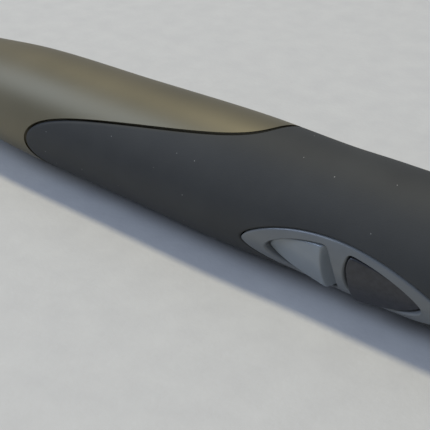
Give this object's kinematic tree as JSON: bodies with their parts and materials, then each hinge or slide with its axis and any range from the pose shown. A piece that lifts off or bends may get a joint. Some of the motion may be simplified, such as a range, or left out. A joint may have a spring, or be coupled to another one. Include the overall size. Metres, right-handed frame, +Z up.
{
  "type": "graphics tablet grip pen",
  "caption": "Cordless graphics-tablet pen with a soft rubber grip, an oval bezel with side buttons, a nib that senses pressure and an eraser end.",
  "frame": {"origin": "tip of the nib, on the pen's axis", "axes": "+X out of the nib along the pen's axis (the body runs to -X), +Z up; the side buttons point towards -Y, 21.2 degrees below the horizontal"},
  "size_m": [0.175, 0.015, 0.015],
  "materials": {
    "barrel_paint": "satin metallic taupe paint",
    "grip_rubber": "soft matt",
    "dark_plastic": "matt",
    "bezel_plastic": "satin",
    "light_button": "satin",
    "dark_button": "satin",
    "black_plastic": "matt",
    "board_green": "solder mask",
    "steel": "plain",
    "ferrite": "fired ceramic",
    "copper": "enamelled wire",
    "black_rubber": "matt",
    "white_plastic": "plain",
    "eraser_plastic": "matt"
  },
  "bodies": {
    "pen_body": {"barrel": "barrel_paint", "grip_sleeve": "grip_rubber", "nose_cone": "dark_plastic", "switch_bezel": "bezel_plastic", "tail_ring": "dark_plastic", "chassis": "black_plastic", "circuit_board": "board_green", "front_tact_body": "steel", "rear_tact_body": "steel", "ferrite_core": "ferrite", "front_coil": "copper", "core_cushion": "black_rubber", "sensor_housing": "white_plastic", "sensor_rubber": "black_rubber", "sensor_disc": "white_plastic", "sensor_plug": "steel", "control_chip": "black_plastic", "chip_parts": "ferrite", "trimmer": "white_plastic", "eraser_core": "ferrite", "eraser_coil": "copper", "eraser_sensor": "white_plastic", "eraser_rubber": "black_rubber"},
    "front_button": {"front_button": "dark_button"},
    "rear_button": {"rear_button": "light_button"},
    "front_stem": {"front_tact_stem": "black_plastic"},
    "rear_stem": {"rear_tact_stem": "black_plastic"},
    "nib": {"nib": "black_plastic", "nib_holder": "white_plastic"},
    "eraser": {"eraser_tip": "eraser_plastic", "eraser_plunger": "white_plastic"}
  },
  "joints": [
    {"name": "front_button_press", "type": "hinge", "parent": "pen_body", "child": "front_button", "pos_m": [-0.0354, -0.00462, -0.00179], "axis": [0, 0.3616, -0.9323], "range_deg": [0, 3]},
    {"name": "rear_button_press", "type": "hinge", "parent": "pen_body", "child": "rear_button", "pos_m": [-0.0526, -0.00462, -0.00179], "axis": [0, -0.3616, 0.9323], "range_deg": [0, 3]},
    {"name": "front_stem_press", "type": "slide", "parent": "pen_body", "child": "front_stem", "axis": [0, 0.9323, 0.3616], "range_m": [0, 0.00024], "stiffness_N_per_m": 6500},
    {"name": "rear_stem_press", "type": "slide", "parent": "pen_body", "child": "rear_stem", "axis": [0, 0.9323, 0.3616], "range_m": [0, 0.00024], "stiffness_N_per_m": 6500},
    {"name": "nib_press", "type": "slide", "parent": "pen_body", "child": "nib", "axis": [-1, 0, 0], "range_m": [0, 0.0004], "stiffness_N_per_m": 8000},
    {"name": "eraser_press", "type": "slide", "parent": "pen_body", "child": "eraser", "axis": [1, 0, 0], "range_m": [0, 0.0008], "stiffness_N_per_m": 4000}
  ],
  "couplings": [
    {"joint": "front_button_press", "follows": "front_stem_press", "rad_per_m": 217.39},
    {"joint": "rear_button_press", "follows": "rear_stem_press", "rad_per_m": 217.39}
  ]
}
